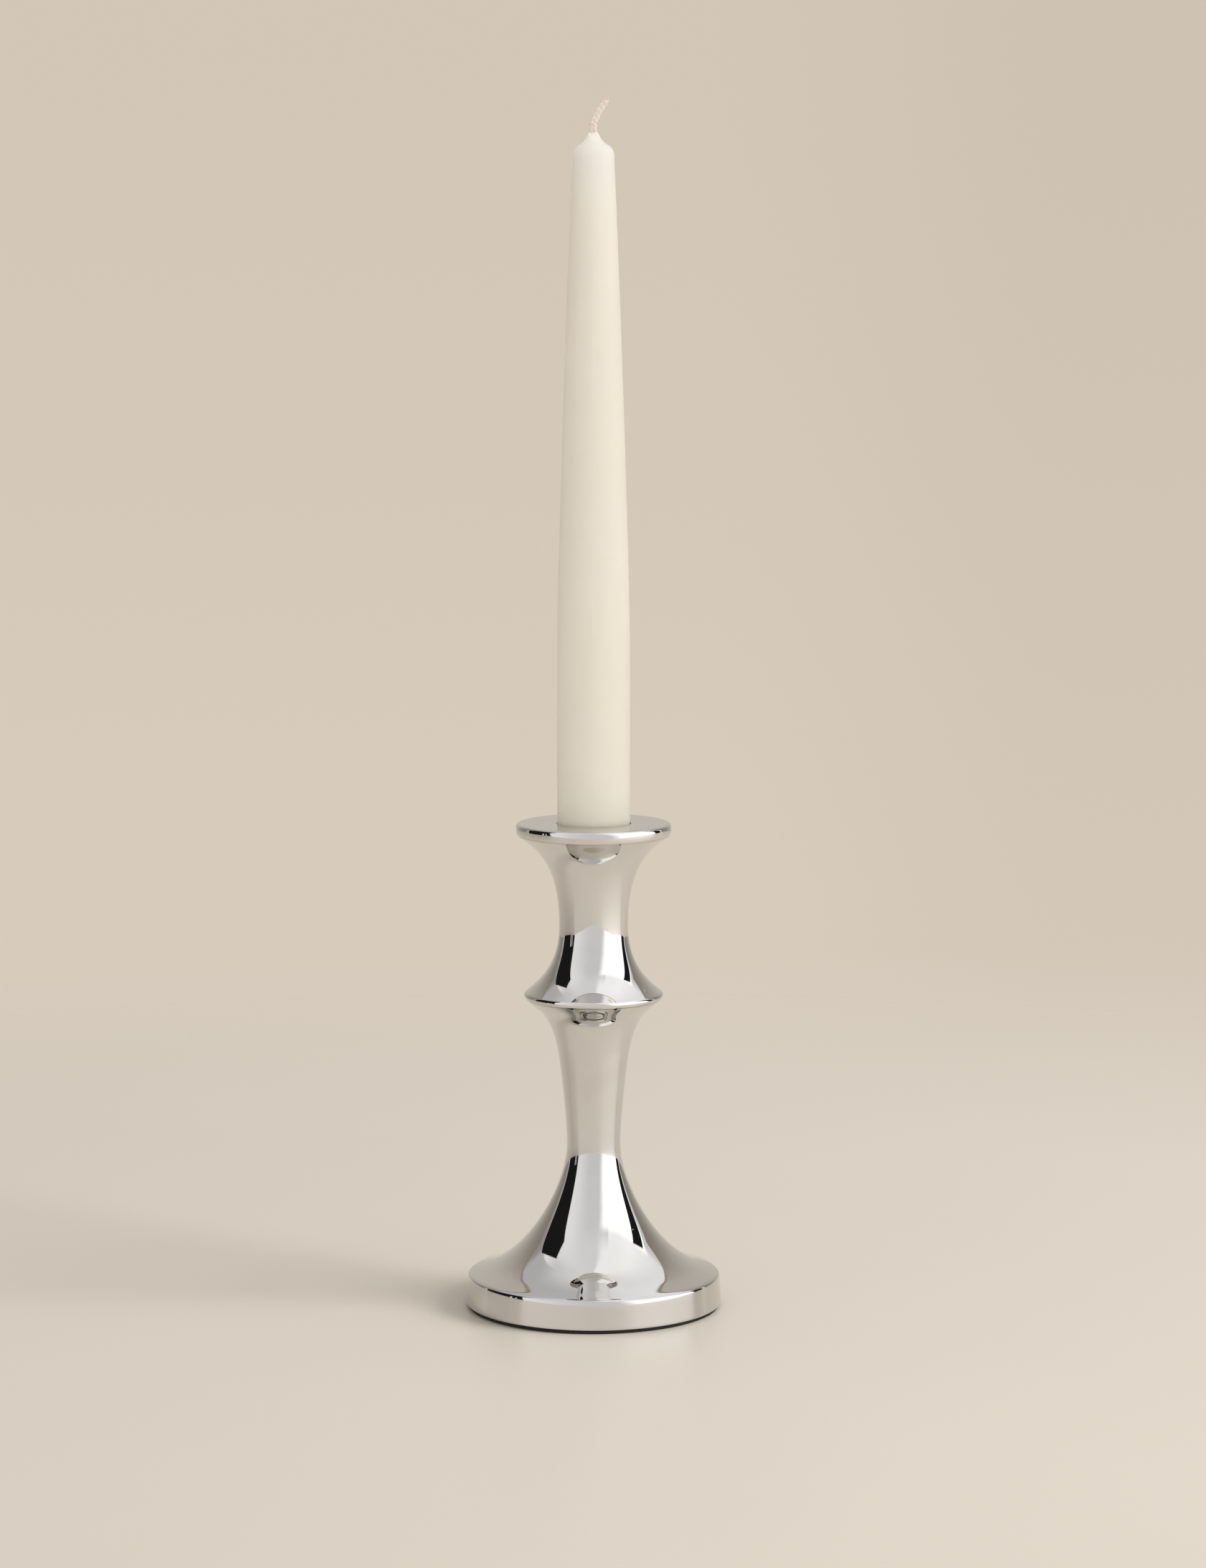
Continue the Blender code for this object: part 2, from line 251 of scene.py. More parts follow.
# %% Helpers for node groups
def new_group(name, takes, gives):
    """A node group with named sockets: takes {name: default}, gives {name: kind}."""
    tree = bpy.data.node_groups.new(name, "ShaderNodeTree")
    for label, default in takes.items():
        socket = tree.interface.new_socket(name=label, in_out="INPUT", socket_type="NodeSocketFloat")
        socket.default_value = default
    for label, kind in gives.items():
        tree.interface.new_socket(name=label, in_out="OUTPUT", socket_type="NodeSocket" + kind)
    return tree, tree.nodes.new("NodeGroupInput").outputs, tree.nodes.new("NodeGroupOutput").inputs


def use_group(tree, group, **values):
    """Place a group in a tree; the words of a socket's name are joined by _ here."""
    node = tree.nodes.new("ShaderNodeGroup")
    node.node_tree = group
    for label, value in values.items():
        feed(tree, node.inputs[label.replace("_", " ")], value)
    return node.outputs


def own_place(tree):
    """Coordinates fixed to the piece, in metres."""
    return put(tree, "TexCoord").outputs["Object"]


# %% [markdown]
# ## Shared effects
# Handling leaves the same marks on all of the pieces, only in different amounts: hairline
# scratches from a cloth, smudges, settled dust, and a colour that gathers in a recess.
# Each is a group, built once, with sockets for its scale and amount.

# %% Hairlines
hairlines, takes, gives = new_group(
    "hairlines", {"Scale": 900.0, "Width": 0.03, "Cover": 0.5}, {"Mask": "Float"})
place = own_place(hairlines)
layers = []
for turn_angle, stretch in ((0.4, 0.035), (1.9, 0.05), (2.7, 0.028)):
    lined = put(hairlines, "Mapping", {"Vector": place, "Rotation": (turn_angle, 0.3, turn_angle * 1.7),
                                       "Scale": (1.0, stretch, 1.0)}).outputs[0]
    offset = calc(hairlines, "SUBTRACT", cloud(hairlines, lined, takes["Scale"]), 0.5)
    ridge = calc(hairlines, "ABSOLUTE", offset)
    line = calc(hairlines, "SUBTRACT", 1.0, calc(hairlines, "DIVIDE", ridge, takes["Width"]), clamp=True)
    layers.append(line)
any_line = calc(hairlines, "MAXIMUM", calc(hairlines, "MAXIMUM", layers[0], layers[1]), layers[2])
bare = calc(hairlines, "SUBTRACT", 1.0, takes["Cover"])
patches = ease(hairlines, cloud(hairlines, place, 70.0), bare, 0.75)
feed(hairlines, gives["Mask"], calc(hairlines, "MULTIPLY", any_line, patches))

# %% Smudges
smudges, takes, gives = new_group("smudges", {"Scale": 60.0, "Contrast": 0.5}, {"Mask": "Float"})
place = own_place(smudges)
broad = cloud(smudges, place, takes["Scale"], detail=5.0, roughness=0.6, distortion=0.6)
edge = calc(smudges, "MULTIPLY", takes["Contrast"], 0.25)
feed(smudges, gives["Mask"],
     ease(smudges, broad, calc(smudges, "ADD", 0.3, edge), calc(smudges, "SUBTRACT", 0.75, edge)))

# %% Dust that settles on what faces up
dust, takes, gives = new_group("dust", {"Scale": 700.0, "Amount": 0.1}, {"Mask": "Float"})
place = own_place(dust)
speck = put(dust, "TexVoronoi", {"Vector": place, "Scale": takes["Scale"]})
chance = put(dust, "SeparateColor", {"Color": speck.outputs["Color"]}).outputs
near = calc(dust, "LESS_THAN", speck.outputs["Distance"], calc(dust, "MULTIPLY", chance[0], 0.22))
rare = calc(dust, "LESS_THAN", chance[1], takes["Amount"])
upward = put(dust, "SeparateXYZ", {"Vector": put(dust, "NewGeometry").outputs["Normal"]}).outputs[2]
settled = ease(dust, upward, -0.2, 0.7, 0.15, 1.0)
feed(dust, gives["Mask"], calc(dust, "MULTIPLY", calc(dust, "MULTIPLY", near, rare), settled))

# %% A band of colour that gathers round one height
ring_band, takes, gives = new_group(
    "ring_band", {"Height": 0.1, "Reach": 0.002, "Raggedness": 0.3}, {"Mask": "Float"})
place = own_place(ring_band)
height = put(ring_band, "SeparateXYZ", {"Vector": place}).outputs[2]
miss = calc(ring_band, "ABSOLUTE", calc(ring_band, "SUBTRACT", height, takes["Height"]))
away = calc(ring_band, "DIVIDE", miss, takes["Reach"])
ragged = calc(ring_band, "MULTIPLY", cloud(ring_band, place, 240.0, detail=4.0), takes["Raggedness"])
feed(ring_band, gives["Mask"], ease(ring_band, calc(ring_band, "ADD", away, ragged), 1.0, 0.0))

# %% Grain: pits and bumps of a cast, foamed or pressed surface
grain, takes, gives = new_group(
    "grain", {"Scale": 500.0, "Pits": 0.5, "Stretch": 1.0}, {"Height": "Float", "Mask": "Float"})
place = own_place(grain)
stretched = put(grain, "CombineXYZ", {0: 1.0, 1: takes["Stretch"], 2: 1.0}).outputs[0]
laid = put(grain, "VectorMath", {0: place, 1: stretched}, operation="MULTIPLY").outputs[0]
rough = cloud(grain, laid, takes["Scale"], detail=6.0, roughness=0.65)
pit = put(grain, "TexVoronoi", {"Vector": laid, "Scale": takes["Scale"]}).outputs["Distance"]
hole = calc(grain, "MULTIPLY", ease(grain, pit, 0.0, 0.55, 1.0, 0.0), takes["Pits"])
feed(grain, gives["Height"], calc(grain, "SUBTRACT", rough, hole))
feed(grain, gives["Mask"], hole)
print("effect groups:", [g.name for g in bpy.data.node_groups])

# %% [markdown]
# ## Materials start from one Principled shader
# What is the same all over a piece, such as how metallic it is, is set on the shader's socket.
# Only what varies over the surface is wired, so that the finish can be baked and exported.

# %% A new material
def new_finish(name, **fixed):
    """A material and its tree and shader; the words of a socket's name are joined by _ here."""
    made = bpy.data.materials.new(name)
    made.use_nodes = True
    shader = made.node_tree.nodes["Principled BSDF"]
    for label, value in fixed.items():
        shader.inputs[label.replace("_", " ")].default_value = value
    return made, made.node_tree, shader


def bump(tree, height, distance_mm, under=None):
    """A Bump node over a height between 0 and 1; its distance is in millimetres."""
    inputs = {"Height": height, "Distance": distance_mm * MM, "Strength": 1.0}
    if under is not None:
        inputs["Normal"] = under
    return put(tree, "Bump", inputs).outputs[0]


# %% [markdown]
# ## Nickel plate
# Polished nickel returns about seven tenths of the light, slightly warm beside chrome, and its
# gloss is close to a mirror's. What keeps it from looking like plastic chrome is slight: a haze of
# smudges that changes the roughness, hairlines from wiping, a few specks of dust, and a faint
# yellow-grey tarnish in the joints, where a polishing cloth doesn't reach.

# %% Make the plate
def nickel_plate(name, joints, haze_scale):
    """joints is a list of (height, reach) in millimetres where tarnish gathers."""
    made, tree, shader = new_finish(name, Metallic=1.0)
    haze = use_group(tree, smudges, Scale=haze_scale, Contrast=0.4)["Mask"]
    lines = use_group(tree, hairlines, Scale=1300.0, Width=0.02, Cover=0.62)["Mask"]
    specks = use_group(tree, dust, Scale=900.0, Amount=0.035)["Mask"]
    colour = mix(tree, haze, (0.735, 0.725, 0.71, 1.0), (0.705, 0.694, 0.675, 1.0))
    for height, reach in joints:
        band = use_group(tree, ring_band, Height=height * MM, Reach=reach * MM, Raggedness=0.5)["Mask"]
        colour = mix(tree, calc(tree, "MULTIPLY", band, 0.55), colour, (0.42, 0.38, 0.30, 1.0))
    colour = mix(tree, calc(tree, "MULTIPLY", specks, 0.5), colour, (0.82, 0.8, 0.76, 1.0))
    feed(tree, shader.inputs["Base Color"], colour)
    rough = ease(tree, haze, 0.0, 1.0, 0.022, 0.05)
    rough = calc(tree, "ADD", rough, calc(tree, "MULTIPLY", lines, 0.06))
    feed(tree, shader.inputs["Roughness"], calc(tree, "ADD", rough, calc(tree, "MULTIPLY", specks, 0.5)))
    feed(tree, shader.inputs["Normal"], bump(tree, lines, 0.00015, bump(tree, haze, 0.0015)))
    return made


# %% [markdown]
# ## The drip pan
# A flat pan with a boxy, softly rounded rim, clamped on top of the stem. Its middle is the socket:
# a slightly tapered cup, and below it a smaller well where the bolt's head sits out of the way.
# The outline goes down the rim, in under the pan, round the cup, and back up inside it.

# %% Turn the pan
PAN_SEAM, KNOP_SEAM = 145.0, 95.0   # heights where the castings meet
SKIN = 0.04                         # hairline left at a joint
BORE_R = 3.4                        # hole for the bolt in each casting
LIP_LOW, LIP_R = PAN_TOP - 0.35, 11.35


def buffed(seed, amount=0.012):
    """A vertex rule that leaves a surface out of true by hundredths of a millimetre."""
    def rule(radius, angle, height):
        return (radius + amount * wave(radius, angle, height, 13.0, seed)
                + amount * 0.3 * wave(radius, angle, height, 5.0, seed + 3), height)
    return rule


rim = cubic((22.0, PAN_TOP), (23.3, PAN_TOP), (PAN_R, 148.3), (PAN_R, 147.1), 18)
rim += cubic((PAN_R, 147.1), (PAN_R, 146.2), (23.4, 145.6), (23.1, PAN_SEAM + SKIN), 14)[1:]
flat_top = [(r, PAN_TOP) for r in (11.75, 12.6, 14.0, 16.0, 18.0, 20.0, 21.2)]
cup_outside = softened([(12.05, PAN_SEAM + SKIN), (11.4, 133.3), (7.7, 133.3), (7.7, 128.4),
                        (BORE_R, 128.4)], 0.5)
cup_inside = softened([(BORE_R, 129.6), (6.8, 129.6), (6.8, 134.5), (10.5, 134.5), (LIP_R, LIP_LOW)], 0.35)
lip = cubic((LIP_R, LIP_LOW), (11.37, PAN_TOP - 0.1), (11.5, PAN_TOP), (11.75, PAN_TOP), 5)[1:-1]
underside = [(20.0, PAN_SEAM + SKIN), (16.0, PAN_SEAM + SKIN)]
pan_line = flat_top + rim + underside + cup_outside + cup_inside + lip
pan = turn("drip_pan_polished", pan_line, shape=buffed(1))
pan_plate = nickel_plate("nickel_plate_pan", [(PAN_SEAM + 0.1, 0.5), (133.0, 6.0)], 75.0)
dress(pan, "candlestick", "pan_plating", pan_plate, "drip_pan")

# %% [markdown]
# ## The stem's casting
# From under the pan it sweeps in to the neck and out again to the knop, whose sharp-looking edge
# is really a small rounding. Inside it is cored out to take the socket, and bored for the bolt.

# %% Turn the stem
KNOP_CENTRE, KNOP_EDGE = (19.96, 96.03), 1.19
NECK_R, NECK_LOW = 10.47, 117.3
neck = cubic((22.8, PAN_SEAM), (17.8, 140.8), (NECK_R, 137.1), (NECK_R, NECK_LOW), 70)
neck += cubic((NECK_R, NECK_LOW), (NECK_R, 107.4), (14.6, 101.55), (20.68, 96.98), 60)[1:]
seam_angle = -math.degrees(math.asin((KNOP_CENTRE[1] - KNOP_SEAM - SKIN) / KNOP_EDGE))
knop = arc(KNOP_CENTRE, KNOP_EDGE, 53, seam_angle, 22)
recess = softened([(20.2, KNOP_SEAM + SKIN), (14.5, KNOP_SEAM + SKIN), (14.5, 97.5), (11.0, 97.5),
                   (BORE_R, 110.0), (BORE_R, 128.1), (8.0, 128.1), (8.0, 133.0), (11.7, 133.0),
                   (12.6, 140.0), (18.6, PAN_SEAM)], 0.6)
stem = turn("stem_polished", neck + knop + recess, shape=buffed(2))
stem_plate = nickel_plate("nickel_plate_stem", [(PAN_SEAM + 0.1, 0.7), (KNOP_SEAM + 0.1, 0.35)], 62.0)
dress(stem, "candlestick", "stem_plating", stem_plate, "upper_stem")

# %% [markdown]
# ## The bell foot
# The lower casting starts under the knop with a spigot that centres the stem on it, narrows to the
# waist, and opens into the bell. A fine crease marks the top of the upright band. The wall follows
# the same curve inside, which leaves room for the weight, and a ledge takes the fibreboard cover.

# %% Turn the bell
CREASE = (38.3, 9.8)
SHOULDER = (32.9, 12.0)
BAND_LOW = PAD_TOP + 0.2
THROAT, WAIST = (11.0, 79.5), (8.18, 50.0)
WALL, HOLLOW_TOP = 3.2, 44.0
under_knop = cubic((20.6, KNOP_SEAM), (16.17, 90.39), (13.73, 91.19), THROAT, 50)
waist = cubic(THROAT, (10.55, 77.55), (WAIST[0], 58.9), WAIST, 40)[1:]
bell = cubic(WAIST, (WAIST[0], 38.3), (18.84, 17.5), SHOULDER, 90)
shoulder = cubic(SHOULDER, (36.2, 10.7), (37.65, 10.45), CREASE, 30)[1:]
band = cubic(CREASE, (38.6, 9.2), (38.62, 8.2), (FOOT_R, 1.6), 26)[1:]
band += cubic((FOOT_R, 1.6), (FOOT_R, 1.3), (FOOT_R - 0.1, BAND_LOW), (FOOT_R - 0.5, BAND_LOW), 5)[1:]
rebate = [(36.0, BAND_LOW), (36.0, 3.5), (34.6, 3.5), (34.6, 7.0)]
hollow = [p for p in reversed(inset(bell, WALL)) if p[1] < HOLLOW_TOP][::3]
bore = [(BORE_R, HOLLOW_TOP), (BORE_R, 84.0), (11.0, 97.2), (14.2, 97.2), (14.2, KNOP_SEAM)]
foot_line = under_knop + waist + bell[1:] + shoulder + band
foot_line += softened(rebate, 0.3) + hollow + softened(bore, 0.4)
foot = turn("bell_foot_polished", foot_line, shape=buffed(5))
foot_joints = [(KNOP_SEAM - 0.1, 0.5), (CREASE[1], 0.18), (PAD_TOP, 0.7)]
dress(foot, "candlestick", "foot_plating", nickel_plate("nickel_plate_foot", foot_joints, 48.0), "bell_foot")

# %% [markdown]
# ## The candle's wax
# A dinner candle is drawn or dipped, so it isn't quite round and carries faint lengthwise ripples.
# It runs straight above the socket and then narrows faster and faster to a soft shoulder. Above
# that the wax climbs the wick in a small cone. The butt is squeezed to fit the socket.

# %% Turn the candle
WAX_R, WAX_TAPER, WAX_POWER = 11.0, 4.83, 1.3
STRAIGHT_TOP, WAX_SHOULDER = 201.0, 349.6


def wax_radius(height):
    share = max(0.0, (height - STRAIGHT_TOP) / (WAX_SHOULDER - STRAIGHT_TOP))
    return WAX_R - WAX_TAPER * share ** WAX_POWER


def hand_drawn(radius, angle, height):
    """Ripples along the candle, a slow wander, and a rougher crown."""
    along = noise.noise(Vector((math.cos(angle) * 2.6, math.sin(angle) * 2.6, height / 70.0)))
    slow = noise.noise(Vector((math.cos(angle), math.sin(angle), height / 30.0 + 5.0)))
    crown = max(0.0, min(1.0, (height - WAX_SHOULDER) / 4.0))
    lumps = noise.noise(Vector((math.cos(angle) * 1.6, math.sin(angle) * 1.6, height / 2.2 + 9.0)))
    share = min(1.0, radius / 5.0)
    return radius + share * (0.035 * along + 0.05 * slow) + crown * 0.10 * lumps, height


WICK_HOLE_R = 1.05
CROWN_TOP = WAX_TOP + 0.45
CONE_FOOT = (3.35, 352.4)
SHOULDER_START = 348.4
TAPER_STEPS, STRAIGHT_STEPS = 150, 30
STRAIGHT_RUN = 51.0
shoulder_r = wax_radius(SHOULDER_START)
cone = cubic((WICK_HOLE_R + 0.3, CROWN_TOP), (1.7, CROWN_TOP - 0.5), (2.05, CROWN_TOP - 2.0), CONE_FOOT, 18)
cone += cubic(CONE_FOOT, (4.5, 351.55), (shoulder_r - 0.02, 351.2), (shoulder_r, SHOULDER_START), 18)[1:]
sides_of_wax = []
for i in range(1, TAPER_STEPS + 1):
    z = SHOULDER_START + (STRAIGHT_TOP - SHOULDER_START) * i / TAPER_STEPS
    sides_of_wax.append((wax_radius(z), z))
for i in range(1, STRAIGHT_STEPS + 1):
    sides_of_wax.append((WAX_R, STRAIGHT_TOP - STRAIGHT_RUN * i / STRAIGHT_STEPS))
butt = softened([(WAX_R, PAN_TOP + 1.3), (WAX_R, PAN_TOP + 0.4), (10.15, WAX_FLOOR + 0.6),
                 (9.55, WAX_FLOOR), (WICK_HOLE_R, WAX_FLOOR)], 0.7, 5)[1:]
wax_line = cone + sides_of_wax + butt + [(WICK_HOLE_R, CROWN_TOP - 0.2)]
candle = turn("candle_wax_body", wax_line, sides=160, shape=hand_drawn)

# %% [markdown]
# ## Ivory wax
# Wax lets light in a few millimetres and gives it back warm, so it is never darker than a pale
# cream even on its shaded side. Subsurface scattering does that. The colour is whiter near the
# tip, where the last dip was thin and cooled fast, and there is a bloom of tiny pale flecks.

# %% Make the wax
ivory, tree, shader = new_finish(
    "ivory_wax", Subsurface_Weight=1.0, Subsurface_Radius=(1.0, 0.95, 0.85), Subsurface_Scale=0.006,
    IOR=1.44, Specular_IOR_Level=0.3)
shader.subsurface_method = "BURLEY"
place = own_place(tree)
height = put(tree, "SeparateXYZ", {"Vector": place}).outputs[2]
cloudy = use_group(tree, smudges, Scale=38.0, Contrast=0.1)["Mask"]
streaks = use_group(tree, grain, Scale=420.0, Pits=0.12, Stretch=1.0)
colour = mix(tree, cloudy, (0.84, 0.805, 0.71, 1.0), (0.86, 0.83, 0.745, 1.0))
near_tip = ease(tree, height, (WAX_TOP - 30.0) * MM, (WAX_TOP - 3.0) * MM)
colour = mix(tree, near_tip, colour, (0.865, 0.85, 0.81, 1.0))
# The wax is darker and yellower round the height of the pan's top, fading out over about 12 mm either way.
wax_darker_near_pan = use_group(tree, ring_band, Height=PAN_TOP * MM, Reach=0.012, Raggedness=0.25)["Mask"]
colour = mix(tree, calc(tree, "MULTIPLY", wax_darker_near_pan, 0.35), colour, (0.72, 0.66, 0.50, 1.0))
flecks = calc(tree, "MULTIPLY", use_group(tree, dust, Scale=1100.0, Amount=0.06)["Mask"], 0.3)
feed(tree, shader.inputs["Base Color"], mix(tree, flecks, colour, (0.86, 0.84, 0.79, 1.0)))
feed(tree, shader.inputs["Roughness"], ease(tree, cloudy, 0.0, 1.0, 0.42, 0.56))
feed(tree, shader.inputs["Normal"], bump(tree, streaks["Height"], 0.03))
dress(candle, "candle", "ivory_wax", ivory, "candle_wax")

# %% [markdown]
# ## A braided wick
# A taper's wick is a flat braid of three cotton strands. Each strand swings from side to side while
# it dips under and over its neighbours, a third of a turn apart. That is a sine across and a sine
# of double speed through. Below the crown it is buried in wax, and above it leans to one side.

# %% Tubes along a path
def tube_rings(path, radius_at, sides):
    """Rings of points round a path; radius_at(i, angle) is in the path's unit."""
    rings, side = [], Vector((1.0, 0.0, 0.0))
    for i, point in enumerate(path):
        along = (path[min(i + 1, len(path) - 1)] - path[max(i - 1, 0)]).normalized()
        side = (side - along * side.dot(along)).normalized()
        up = along.cross(side)
        ring = []
        for k in range(sides):
            angle = math.tau * k / sides
            ring.append(point + (side * math.cos(angle) + up * math.sin(angle)) * radius_at(i, angle))
        rings.append(ring)
    return rings


def add_tube(vertices, faces, path, radius_at, sides=8):
    """Append a closed tube to lists of vertices and faces; the path is in millimetres."""
    first = len(vertices)
    for ring in tube_rings(path, radius_at, sides):
        vertices += [tuple(p * MM) for p in ring]
    for i in range(len(path) - 1):
        for k in range(sides):
            a, b = first + i * sides + k, first + i * sides + (k + 1) % sides
            faces.append((a, b, b + sides, a + sides))
    faces.append(tuple(reversed(range(first, first + sides))))
    faces.append(tuple(range(len(vertices) - sides, len(vertices))))


# %% The line that the wick follows
LEAN, LEAN_FROM = 4.15, 0.30    # millimetres at the tip; share of the free length
KINK, KINK_END = 0.16, 0.42


def wick_line(height):
    """Centre of the wick at a height: plumb in the wax, a slight kink, then the lean."""
    free = WICK_TOP - WAX_TOP
    share = max(0.0, (height - WAX_TOP) / free)
    settle = max(0.0, min(1.0, (share - LEAN_FROM) / (1.0 - LEAN_FROM)))
    kink = -KINK * math.sin(min(1.0, share / KINK_END) * math.pi)
    return Vector((kink + LEAN * settle ** 1.25, 0.25 * share, height))


# %% Lay the three strands
BRAID_PITCH = 3.9
SWING, DIP, STRAND = 0.60, 0.30, 0.66
BURIED = 0.35                   # how far the braid opens where it is held in the wax
FINE_STEP, COARSE_STEP = 0.22, 0.6
strands_end = WICK_TOP - 0.75
vertices, faces = [], []
for strand in range(3):
    path, shift = [], math.tau * strand / 3
    z = low("candle_wick")
    while z < strands_end:
        swing = math.tau * z / BRAID_PITCH + shift
        loose = BURIED + (1.0 - BURIED) * max(0.0, min(1.0, (z - WAX_TOP + 0.3) / 1.6))
        sideways = Vector((SWING * math.sin(swing), DIP * math.sin(2 * swing), 0.0))
        path.append(wick_line(z) + sideways * loose)
        z += FINE_STEP if z > WAX_TOP - 8.0 else COARSE_STEP
    count = len(path)

    def strand_radius(i, angle, count=count, shift=shift):
        fray = 1.0 - 0.2 * max(0.0, (i - count + 6) / 6)
        plies = 1.0 + 0.06 * math.cos(5 * (angle + i * 0.22))
        return STRAND * fray * plies * (1.0 + 0.1 * noise.noise(Vector((i * 0.35, shift, angle))))

    add_tube(vertices, faces, path, strand_radius, sides=20)
print("braid vertices:", len(vertices))

# %% [markdown]
# ## Loose fibres
# The cut end of cotton always opens out. Ninety hair-thin tubes fan out from the tip, and half as
# many stray ones lift off the braid. A seeded random source keeps them the same each run.

# %% Fan out the fibres
fibres = random.Random(7)
FIBRE = 0.04
tip_start = strands_end - 1.2
for i in range(90):
    angle, spread = fibres.uniform(0, math.tau), fibres.uniform(0.1, 0.75)
    foot_z = fibres.uniform(tip_start, strands_end - 0.2)
    base = wick_line(foot_z) + Vector((math.cos(angle), math.sin(angle) * 0.7, 0.0)) * spread
    lean = (wick_line(strands_end) - wick_line(tip_start)).normalized()
    outward = Vector((math.cos(angle), math.sin(angle), 0.0)) * fibres.uniform(0.05, 0.42)
    length, curl = fibres.uniform(0.7, 1.7), fibres.uniform(-0.4, 0.4)
    path = []
    for k in range(8):
        t = k / 7
        point = base + (lean + outward * t + Vector((0, 0, curl * t * 0.4))) * length * t
        point.z = min(point.z, WICK_TOP - 0.03)
        path.append(point)
    add_tube(vertices, faces, path, lambda i, a: FIBRE * (1.0 - 0.09 * i), sides=5)
for i in range(46):
    z, angle = fibres.uniform(WAX_TOP - 0.2, strands_end), fibres.uniform(0, math.tau)
    base = wick_line(z) + Vector((math.cos(angle) * 0.85, math.sin(angle) * 0.55, 0.0))
    along = Vector((fibres.uniform(-0.3, 0.5), fibres.uniform(-0.3, 0.3), fibres.uniform(0.5, 1.0)))
    outward = Vector((math.cos(angle), math.sin(angle), 0.0)) * fibres.uniform(0.1, 0.35)
    path = [base + along * (t / 6) * 0.8 + outward * math.sin(t / 6 * math.pi) * 0.8 for t in range(7)]
    add_tube(vertices, faces, path, lambda i, a: FIBRE * 0.8, sides=5)
wick = finish_mesh("wick_braid", vertices, faces, crease_degrees=80.0)

# %% [markdown]
# ## Cotton
# Undyed cotton is off-white and quite matt, with a fuzzy sheen at its edge. The first millimetres
# above the crown have drunk wax, which makes them yellower and a little glossy.

# %% Make the cotton
cotton, tree, shader = new_finish("wick_cotton", Sheen_Weight=0.2, Sheen_Roughness=0.5)
yarn = use_group(tree, grain, Scale=2600.0, Pits=0.25, Stretch=0.3)
shade = use_group(tree, smudges, Scale=900.0, Contrast=0.2)["Mask"]
soaked = use_group(tree, ring_band, Height=(WAX_TOP - 0.5) * MM, Reach=0.0045, Raggedness=0.4)["Mask"]
colour = mix(tree, shade, (0.80, 0.73, 0.65, 1.0), (0.87, 0.80, 0.73, 1.0))
colour = mix(tree, calc(tree, "MULTIPLY", soaked, 0.6), colour, (0.84, 0.785, 0.69, 1.0))
feed(tree, shader.inputs["Base Color"], mix(tree, yarn["Mask"], colour, (0.72, 0.63, 0.54, 1.0)))
feed(tree, shader.inputs["Roughness"], ease(tree, soaked, 0.0, 1.0, 0.92, 0.5))
feed(tree, shader.inputs["Normal"], bump(tree, yarn["Height"], 0.05))
dress(wick, "candle", "cotton_wick", cotton, "candle_wick")

# %% [markdown]
# ## The long bolt
# It runs from the well under the socket down through both castings, and its nut pulls the stack
# together. A real thread is a helix, so the radius here depends on the height and the angle at once:
# a triangle wave that climbs one pitch in each turn.

# %% Turn the bolt, its thread and its head
BOLT_R, HEAD_R, HEAD_THICK = 3.0, 5.25, 3.2
PITCH, THREAD_DEPTH, THREAD_TOP = 1.0, 0.55, 34.0
KEY_R, KEY_DEPTH = 2.3, 2.0
bolt_low, bolt_high = low("tie_bolt"), high("tie_bolt")
head_low = bolt_high - HEAD_THICK
thread_low = bolt_low + 0.6
shank_top = head_low - 0.4


def threaded(radius, angle, height):
    """A groove in the shank that climbs one pitch in each turn; other radii stay as they are."""
    if radius < BOLT_R - 0.1 or radius > BOLT_R + 0.01 or height > THREAD_TOP:
        return radius, height
    share = (height / PITCH - angle / math.tau) % 1.0
    groove = THREAD_DEPTH * (1.0 - abs(2.0 * share - 1.0))
    fade = min(1.0, (THREAD_TOP - height) / 2.0, max(0.0, (height - bolt_low) / 0.8))
    return radius - groove * fade, height


rim_low = (HEAD_R, head_low + 0.35)
crown = cubic((KEY_R + 0.05, bolt_high), (3.9, bolt_high), (HEAD_R, bolt_high - 1.1), rim_low, 12)
below_head = softened([rim_low, (HEAD_R, head_low), (BOLT_R, head_low), (BOLT_R, shank_top)], 0.15)
shank = [(BOLT_R, shank_top - i * (shank_top - THREAD_TOP) / 30) for i in range(31)]
stations = int((THREAD_TOP - thread_low) / PITCH * 10)
shank += [(BOLT_R, THREAD_TOP - (i + 1) * (THREAD_TOP - thread_low) / stations) for i in range(stations)]
end = [(2.4, bolt_low), (0.0, bolt_low)]


def hexagon(radius, angle, height):
    """The key socket is six-sided; every other part of the bolt is round."""
    if radius < KEY_R + 0.04 and height > bolt_high - KEY_DEPTH - 0.3:
        flat = (angle % (math.pi / 3)) - math.pi / 6
        return radius * 0.866 / math.cos(flat), height
    return threaded(radius, angle, height)


key = [(0.0, bolt_high - KEY_DEPTH - 0.2), (1.2, bolt_high - KEY_DEPTH), (KEY_R, bolt_high - KEY_DEPTH),
       (KEY_R, bolt_high - 0.15)]
bolt_line = key + crown + below_head + shank + end
bolt = turn("tie_bolt_threaded", bolt_line, sides=72, closed=False, shape=hexagon)

# %% [markdown]
# ## Nut and washers
# A hexagon nut is a hexagonal bar whose corners were turned off at thirty degrees, so one rule gives
# it: the radius grows towards each corner, and the height drops by as much as the cone takes off.
# The spring washer is a split ring, wound so that its two ends stand slightly apart.

# %% Shape the nut
NUT_FLAT = 5.0
nut_low, nut_high = low("clamp_nut"), high("clamp_nut")


def nut_shape(radius, angle, height):
    if radius < NUT_FLAT:
        return radius, height
    flat = (angle % (math.pi / 3)) - math.pi / 6
    corner = NUT_FLAT / math.cos(flat)
    drop = (corner - NUT_FLAT) * math.tan(math.radians(30))
    if height > (nut_low + nut_high) / 2:
        return corner, height - drop
    return corner, height + drop


